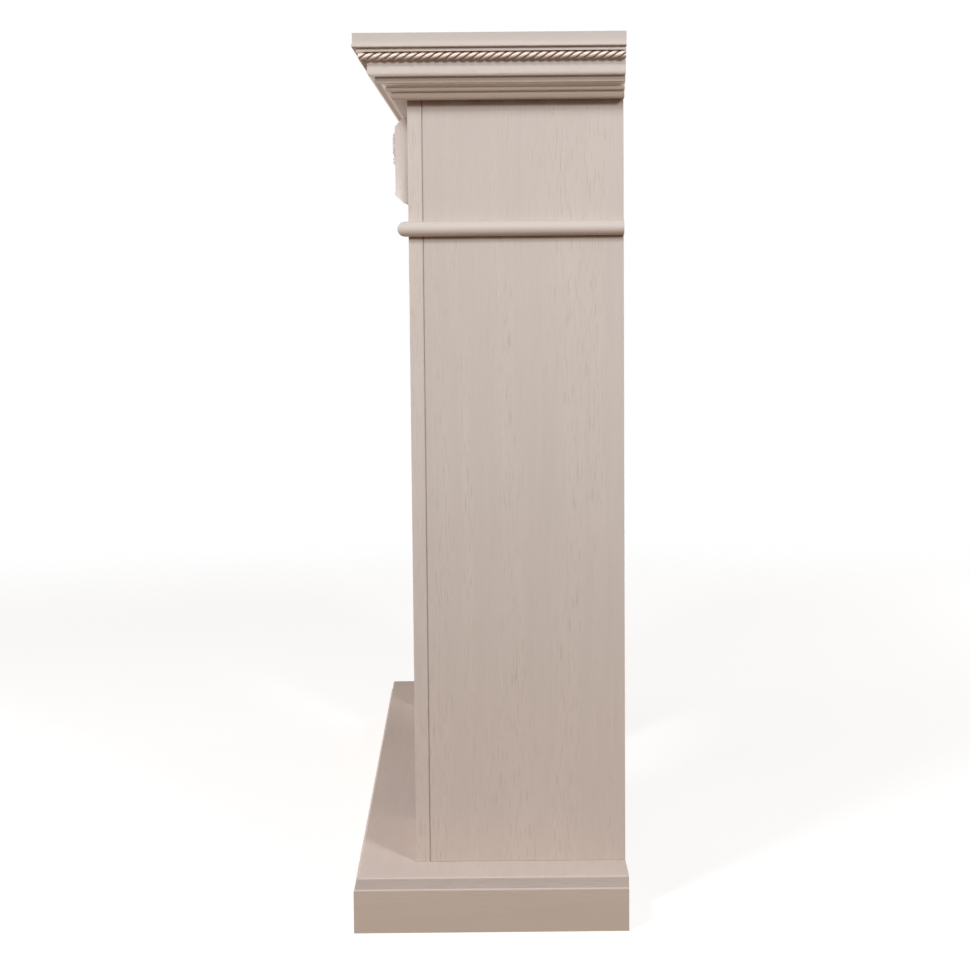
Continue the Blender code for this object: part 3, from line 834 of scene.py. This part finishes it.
def frieze_board(finish):
    """The board between the pilasters, with a sunk panel between the bead and the crown moulding."""
    bm = solid_board(LINTEL_LOW, LINTEL_HIGH)
    slit(bm, (ASTRAGAL_HIGH.z, CORNICE_LOW.z))
    sink_panel(bm, ASTRAGAL_HIGH.z, CORNICE_LOW.z, FRIEZE_PANEL_MARGIN)
    ease(bm, BOARD_ARRIS, SQUARE_TURN)
    show("frieze_board", bm, [finish], ["lintel"])


def eased_board(name, node, materials):
    """A board as the frame has it, with its arrises eased and its foot set down on the hearth."""
    bm = bmesh.new()
    bm.from_mesh(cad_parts[node].data)
    bmesh.ops.remove_doubles(bm, verts=bm.verts, dist=WELD)
    bmesh.ops.dissolve_limit(bm, angle_limit=math.radians(1), verts=bm.verts, edges=bm.edges)
    for vert in bm.verts:
        if 0 < vert.co.z - HEARTH_HIGH.z < 2 * GAP:
            vert.co.z = HEARTH_HIGH.z
    ease(bm, BOARD_ARRIS, BOARD_TURN)
    show(name, bm, materials, [node])


def block_edge_profile():
    """Inset from the outline and height above the board, from a block's foot up to its field."""
    return [
        (0, GAP),
        (0, BLOCK_FOOT),
        (BLOCK_SHOULDER_IN, BLOCK_SHOULDER),
        (BLOCK_EDGE, BLOCK_RIM),
        (BLOCK_EDGE + BLOCK_BORDER, BLOCK_RIM),
        (BLOCK_EDGE + BLOCK_BORDER + BLOCK_FIELD_DEPTH / 2, FIELD_OUT),
    ]


def block_body():
    """The moulded block, lying in X and Y with its face up and its centre at the origin."""
    size = BLOCK_HIGH - BLOCK_LOW
    loops = []
    for inset, height in block_edge_profile():
        across = size.x / 2 - inset
        along = size.z / 2 - inset
        loops.append([
            (-across, -along, height),
            (across, -along, height),
            (across, along, height),
            (-across, along, height),
        ])
    bm = bmesh.new()
    loft(bm, loops)
    ease(bm, MOULDING_ARRIS, BLOCK_TURN)
    return bm


def leaf(bm, root, angle, length, width, relief):
    """A leaf, full to its tip, with a sunk vein and fine ribs; angle 0 points up."""
    made = bmesh.ops.create_uvsphere(bm, u_segments=40, v_segments=36, radius=1.0)
    turn = Matrix.Rotation(-angle, 3, "Z")
    for vert in made["verts"]:
        along = vert.co.z
        swell = LEAF_MIDDLE_SWELL + LEAF_TIP_SWELL * along
        full = swell * math.hypot(1, along)
        vein = VEIN_DEPTH * math.exp(-(vert.co.x / VEIN_WIDTH) ** 2)
        ribs = RIB_DEPTH * math.cos(math.pi * RIB_COUNT * (along - abs(vert.co.x)))
        point = Vector((
            vert.co.x * width / 2 * swell,
            (along + 1) * length / 2,
            vert.co.y * relief * full * (1 - vein + ribs),
        ))
        vert.co = turn @ point + Vector((*root, FIELD_OUT))


def scroll_points(side):
    """A stem from the middle of the base that swings out and winds up into a volute."""
    centre = Vector((side * SCROLL_REACH, -SCROLL_DROP))
    points = []
    for step in range(STEM_STEPS):
        share = step / STEM_STEPS
        rise = STEM_RISE * (1 - math.cos(2 * math.pi * share)) / 2
        points.append(Vector((side * SCROLL_REACH * share, -SCROLL_DROP - SCROLL_RADIUS + rise)))
    for step in range(VOLUTE_STEPS + 1):
        share = step / VOLUTE_STEPS
        angle = -math.pi / 2 + side * 2 * math.pi * SCROLL_TURNS * share
        radius = SCROLL_RADIUS * (1 - SCROLL_WINDS_IN * share)
        points.append(centre + radius * Vector((math.cos(angle), math.sin(angle))))
    return points


def scroll(bm, side):
    """The stem as a tapering round rod along its points, with an eye in its volute."""
    points = scroll_points(side)
    loops = []
    for index, point in enumerate(points):
        before = points[max(index - 1, 0)]
        after = points[min(index + 1, len(points) - 1)]
        along = (after - before).normalized()
        across = Vector((-along.y, along.x, 0))
        thick = SCROLL_THICKNESS * (1 - SCROLL_THINS * index / len(points))
        loop = []
        for corner in range(SCROLL_SIDES):
            angle = 2 * math.pi * corner / SCROLL_SIDES
            offset = across * thick * math.cos(angle) + Vector((0, 0, thick * math.sin(angle)))
            loop.append(Vector((*point, FIELD_OUT)) + offset)
        loops.append(loop)
    loft(bm, loops)
    eye = bmesh.ops.create_uvsphere(bm, u_segments=20, v_segments=12, radius=SCROLL_EYE)
    centre = (side * SCROLL_REACH, -SCROLL_DROP, FIELD_OUT)
    bmesh.ops.translate(bm, verts=eye["verts"], vec=centre)


def bud(bm):
    """A round bud at the root of the fan."""
    made = bmesh.ops.create_uvsphere(bm, u_segments=32, v_segments=20, radius=BUD_RADIUS)
    bmesh.ops.scale(bm, verts=made["verts"], vec=(1, 1, BUD_RELIEF / BUD_RADIUS))
    bmesh.ops.translate(bm, verts=made["verts"], vec=(0, -BUD_DROP, FIELD_OUT))


def base_bar(bm):
    """A rounded bar under the palmette, across the border."""
    made = bmesh.ops.create_uvsphere(bm, u_segments=32, v_segments=40, radius=1.0)
    bmesh.ops.rotate(bm, verts=made["verts"], matrix=Matrix.Rotation(math.pi / 2, 3, "Y"))
    size = (BASE_BAR_LENGTH / 2, BASE_BAR_RADIUS, BASE_BAR_RELIEF)
    bmesh.ops.scale(bm, verts=made["verts"], vec=size)
    bmesh.ops.translate(bm, verts=made["verts"], vec=(0, -BASE_BAR_DROP, FIELD_OUT))


def fan_leaves():
    """Root, angle, length, width and relief of each leaf of the palmette."""
    root = (0, -FAN_ROOT_DROP)
    leaves = [((0, -BUD_DROP), math.pi, CALYX_LENGTH, CALYX_WIDTH, SIDE_LEAF_RELIEF)]
    for index in range(PETALS):
        share = 2 * index / (PETALS - 1) - 1
        size = 1 - OUTER_PETAL_SMALLER * share * share
        angle = share * PETAL_SPREAD / 2
        leaves.append((root, angle, PETAL_LENGTH * size, PETAL_WIDTH, PETAL_RELIEF * size))
    for side in (-1, 1):
        root = (side * (SCROLL_REACH + SCROLL_RADIUS), -SCROLL_DROP)
        for degrees, length in SIDE_LEAVES:
            angle = side * math.radians(degrees)
            leaves.append((root, angle, length, SIDE_LEAF_WIDTH, SIDE_LEAF_RELIEF))
    return leaves


def palmette():
    """The whole ornament grown into one skin, cut flat just under the block's field."""
    bm = bmesh.new()
    for size in fan_leaves():
        leaf(bm, *size)
    for side in (-1, 1):
        scroll(bm, side)
    bud(bm)
    base_bar(bm)
    bmesh.ops.recalc_face_normals(bm, faces=bm.faces)
    mesh = bpy.data.meshes.new("palmette")
    bm.to_mesh(mesh)
    bm.free()
    shape = bpy.data.objects.new("palmette", mesh)
    bpy.context.scene.collection.objects.link(shape)
    remesh = shape.modifiers.new("one_skin", "REMESH")
    remesh.mode = "VOXEL"
    remesh.voxel_size = CARVING_GRAIN
    dg = bpy.context.evaluated_depsgraph_get()
    bm = bmesh.new()
    bm.from_mesh(shape.evaluated_get(dg).to_mesh())
    bpy.data.objects.remove(shape)
    bpy.data.meshes.remove(mesh)
    bmesh.ops.smooth_vert(
        bm, verts=bm.verts, factor=0.5, use_axis_x=True, use_axis_y=True, use_axis_z=True
    )
    saw(bm, (0, 0, FIELD_OUT - GAP), (0, 0, -1))
    return bm


def carved_block(finish):
    """The two frieze blocks: one carving, set on either pilaster."""
    bm = palmette()
    spare = bpy.data.meshes.new("block_body")
    body = block_body()
    body.to_mesh(spare)
    body.free()
    bm.from_mesh(spare)
    bpy.data.meshes.remove(spare)
    settle_glaze(bm)
    bmesh.ops.rotate(bm, verts=bm.verts, matrix=Matrix.Rotation(math.pi / 2, 3, "X"))
    bmesh.ops.translate(bm, verts=bm.verts, vec=(BLOCK_CENTRE.x, FRONT_Y, BLOCK_CENTRE.z))
    right = show("carved_block_right", bm, [finish], ["frieze_block_right"],
                 CARVING_SMOOTHING)
    mesh = right.data.copy()
    mesh.transform(Matrix.Translation((-2 * BLOCK_CENTRE.x, 0, 0)))
    stand_for(bpy.data.objects.new("carved_block_left", mesh), ["frieze_block_left"])


def add_camera():
    """The viewpoint: square on to the right-hand end, from a little above its middle."""
    data = bpy.data.cameras.new("camera")
    data.sensor_width = SENSOR
    data.lens = FOCAL_PIXELS * SENSOR / IMAGE_SIDE
    camera = bpy.data.objects.new("camera", data)
    bpy.context.scene.collection.objects.link(camera)
    forward = Vector((
        -math.cos(CAMERA_PITCH) * math.cos(CAMERA_YAW),
        math.cos(CAMERA_PITCH) * math.sin(CAMERA_YAW),
        -math.sin(CAMERA_PITCH),
    ))
    level = forward.cross(Vector((0, 0, 1))).normalized()
    above = level.cross(forward)
    right = level * math.cos(CAMERA_ROLL) + above * math.sin(CAMERA_ROLL)
    up = above * math.cos(CAMERA_ROLL) - level * math.sin(CAMERA_ROLL)
    turn = Matrix((right, up, -forward)).transposed().to_4x4()
    camera.matrix_world = Matrix.Translation(CAMERA_PLACE) @ turn
    bpy.context.scene.camera = camera


def softbox(name, away, height, side, power, tint):
    """A square soft light at a place in plan from the near end panel and at a height."""
    data = bpy.data.lights.new(name, "AREA")
    data.shape = "SQUARE"
    data.size = side
    data.energy = power
    data.color = tint
    light = bpy.data.objects.new(name, data)
    bpy.context.scene.collection.objects.link(light)
    target = Vector((HALF, BEHIND_MIDDLE, LIGHT_TARGET_HEIGHT))
    light.location = Vector((HALF + away[0], BEHIND_MIDDLE + away[1], height))
    light.rotation_mode = "QUATERNION"
    light.rotation_quaternion = (light.location - target).to_track_quat("Z", "Y")


def add_sky():
    """Even, slightly warm light that comes mostly from above, on a white ground."""
    world = bpy.data.worlds.new("studio")
    world.use_nodes = True
    bpy.context.scene.world = world
    tree = world.node_tree
    ground = tree.nodes.new("ShaderNodeBackground")
    direction = tree.nodes.new("ShaderNodeTexCoord")
    height = tree.nodes.new("ShaderNodeSeparateXYZ")
    share = tree.nodes.new("ShaderNodeMapRange")
    share.inputs["From Min"].default_value = SKY_FULL_BELOW
    share.inputs["From Max"].default_value = SKY_FULL_ABOVE
    tint = tree.nodes.new("ShaderNodeMix")
    tint.data_type = "RGBA"
    tint.inputs[6].default_value = colour(SKY_BELOW)
    tint.inputs[7].default_value = colour(SKY_ABOVE)
    rays = tree.nodes.new("ShaderNodeLightPath")
    choice = tree.nodes.new("ShaderNodeMixShader")
    sky = tree.nodes["Background"]
    ground.inputs["Color"].default_value = colour(WHITE)
    tree.links.new(direction.outputs["Generated"], height.inputs[0])
    tree.links.new(height.outputs["Z"], share.inputs["Value"])
    tree.links.new(share.outputs[0], tint.inputs[0])
    tree.links.new(tint.outputs[2], sky.inputs["Color"])
    tree.links.new(rays.outputs["Is Camera Ray"], choice.inputs[0])
    tree.links.new(sky.outputs[0], choice.inputs[1])
    tree.links.new(ground.outputs[0], choice.inputs[2])
    tree.links.new(choice.outputs[0], tree.nodes["World Output"].inputs["Surface"])


def add_floor():
    """A pale round floor that fades out into the ground."""
    bm = bmesh.new()
    bmesh.ops.create_circle(bm, cap_ends=True, segments=FLOOR_SIDES, radius=FLOOR_RADIUS)
    mesh = bpy.data.meshes.new("floor")
    bm.to_mesh(mesh)
    bm.free()
    finish = Finish("pale_floor")
    finish.shader.inputs["Base Color"].default_value = colour(FLOOR_GREY)
    finish.shader.inputs["Roughness"].default_value = FLOOR_ROUGHNESS
    finish.shader.inputs["Emission Color"].default_value = colour(WHITE)
    finish.shader.inputs["Emission Strength"].default_value = FLOOR_GLOW
    length = {"operation": "LENGTH"}
    away = finish.node("ShaderNodeVectorMath", length, {0: finish.place()}, output="Value")
    pale = Value(finish, finish.shader.outputs[0])
    clear = finish.node("ShaderNodeBsdfTransparent")
    inputs = {0: away.between(*FLOOR_FADE), 1: pale, 2: clear}
    blend = finish.node("ShaderNodeMixShader", None, inputs)
    finish.feed(finish.tree.nodes["Material Output"].inputs["Surface"], blend)
    mesh.materials.append(finish.material)
    floor = bpy.data.objects.new("floor", mesh)
    bpy.context.scene.collection.objects.link(floor)
    floor.visible_diffuse = False


def each_way(name, tone, axes, **more):
    """The same finish with its grain along each of the axes."""
    return {axis: limed_oak(f"{name}_{axis}", tone, axis, **more) for axis in axes}


def change(level, distances, tone):
    """A change of tone between two distances above a level."""
    low, high = distances
    return level + low, level + high, tone


def crown_light_and_shade():
    """Painted light and shade on the crown moulding, upward: band and bead darker and browner, partly
    as glaze; hollow lighter; fillet darker; ovolo foot and ovolo lighter; top fillet a painted
    highlight.
    """
    hollow_foot = CORNICE_LOW.z + BAND_HEIGHT + BEAD_HEIGHT
    hollow_top = CORNICE_LOW.z + HOLLOW_TOP
    top_fillet = (-2 * TOP_FILLET_HEIGHT, -TOP_FILLET_HEIGHT)
    return (
        change(CORNICE_LOW.z, BAND_CHANGE, BROWNED_AND_SHADED_CREAM),
        change(hollow_foot, HOLLOW_CHANGE, shade(CREAM, HOLLOW_PAINTED_LIGHT)),
        change(hollow_top, FILLET_CHANGE, shade(BROWNED_AND_SHADED_CREAM, FILLET_PAINTED_SHADE)),
        change(OVOLO_BOTTOM, OVOLO_FOOT_CHANGE, shade(CREAM, OVOLO_FOOT_PAINTED_LIGHT)),
        change(OVOLO_BOTTOM, OVOLO_CHANGE, shade(CREAM, OVOLO_PAINTED_LIGHT)),
        change(CORNICE_HIGH.z, top_fillet, shade(CREAM, TOP_FILLET_HIGHLIGHT)),
    )


def add_shelf():
    """The slab on top, with the grain of its ends turned along them."""
    # The edge is lighter at its flared lip as painted light, with a band of painted shade along its
    # lower arris
    tones = (change(SHELF_LOW.z, SHELF_CHANGE, shade(CREAM, SHELF_SHADE)),)
    oak = each_way("shelf_oak", shade(CREAM, SHELF_LIP_PAINTED_LIGHT), "XY", roughness=0.66,
                   lines=(SHELF_SHADE_LINE,), tones=tones)
    slab = moulded_board(shelf_profile())
    ease(slab, SHELF_ARRIS, SQUARE_TURN)
    end_faces_along_y(slab)
    show("shelf_slab", slab, [oak["X"], oak["Y"]], ["mantel_shelf"])


def add_mouldings():
    """Crown moulding, bead moulding and rope, each along the front and both ends."""
    # Brown in the crown's hollows is partly glaze and partly painted shade; its tones paint light and
    # shade member by member
    crown = each_way("crown_oak", BAND_BROWN_AND_SHADE, "XY", roughness=0.42, pore_share=0.10, glaze=0.5,
                     glaze_start=0.20, tones=crown_light_and_shade())
    three_runs("crown_moulding", "cornice", cornice_profile(), crown,
               ["mantel_shelf", "side_panel_left", "side_panel_right", "lintel",
                "rope_front", "rope_left", "rope_right"])

    # The bead moulding is browner and darker below its nose as painted shade, and lighter above it as
    # painted light
    nose = (ASTRAGAL_LOW.z + ASTRAGAL_HIGH.z) / 2
    bead = each_way("bead_oak", BEAD_UNDERSIDE_SHADE, "XY", roughness=0.42, pore_share=0.10, glaze=0.4,
                    tones=((ASTRAGAL_LOW.z, nose, shade(CREAM, BEAD_SHADE)),))
    three_runs("bead_moulding", "astragal", astragal_profile(), bead,
               ["side_panel_left", "side_panel_right", "lintel", "pilaster_left", "pilaster_right"])

    # Rope: strands lighter as a painted highlight, its lower half darker as painted shade, its grooves
    # brown as glaze and painted shade
    rope = limed_oak("rope_oak", shade(CREAM, ROPE_HIGHLIGHT), "Y", roughness=0.34, pore_share=0.05,
                     glaze=1.6, glaze_start=0.55, lines=(ROPE_SHADE_LINE,))
    rope_front(rope)
    rope_side("left", -1, rope)
    rope_side("right", 1, rope)


def add_body(lining):
    """Pilasters, end panels, the frieze with its carved blocks, and the boards behind them."""
    # Uprights darker and warmer towards their feet as painted shade, with bands of painted shade under
    # the crown and the bead; the carving's hollows brown as glaze and painted shade
    ends = limed_oak("end_panel_oak", FOOT_SHADED_CREAM, "Z", pore_share=0.25, lines=BODY_SHADE_LINES,
                     tones=((*UPRIGHT_CHANGE, CREAM),))
    fronts = limed_oak("pilaster_oak", FOOT_SHADED_CREAM, "Z", lines=BODY_SHADE_LINES,
                       tones=((*UPRIGHT_CHANGE, shade(CREAM, PILASTER_SHADE)),))
    frieze = limed_oak("frieze_oak", CREAM, "X", lines=BODY_SHADE_LINES)
    carving = limed_oak("carving_oak", CARVING_CREAM, "X", roughness=0.40, pore_share=0.15,
                        glaze=1.6, glaze_start=0.25)
    for place, side in (("left", -1), ("right", 1)):
        pilaster(place, side, fronts)
        eased_board(f"end_panel_{place}", f"side_panel_{place}", [ends])
        eased_board(f"opening_cheek_{place}", f"niche_cheek_{place}", [lining["Z"]])
    frieze_board(frieze)
    carved_block(carving)
    eased_board("opening_head_board", "niche_head", [lining["X"]])
    eased_board("rear_rail", "back_rail", [lining["X"]])


def add_hearth(lining):
    """The hearth's board with its moulded edge, on a plinth that is plain at the back."""
    # A lighter copy on the hearth's top and darker ones on its upright faces and the plinth: painted
    # light and shade by how each face meets the light
    top = limed_oak("hearth_oak", HEARTH_CREAM, "X", roughness=0.58, pore_share=0.10)
    edge = each_way("hearth_edge_oak", HEARTH_EDGE_SHADED, "XY")
    plinth = each_way("plinth_oak", PLINTH_BROWN_AND_SHADE, "XY", pore_share=0.05)
    board = moulded_board(hearth_board_profile())
    hearth_faces(board)
    show("hearth_slab", board, [top, edge["X"], edge["Y"]], ["hearth_top"])
    three_runs("plinth", "hearth", plinth_profile(), plinth, [], 0)
    eased_board("plinth_rear", "hearth_back", [lining["X"]])


def build():
    """Camera, light and floor, then every piece from the top down."""
    add_camera()
    for name, size in LIGHTS.items():
        softbox(name, *size)
    add_sky()
    add_floor()
    lining = each_way("lining_board", shade(CREAM, LINING_SHADE), "XZ", roughness=0.55)
    add_shelf()
    add_mouldings()
    add_body(lining)
    add_hearth(lining)


build()
bpy.context.scene.view_settings.view_transform = "Standard"
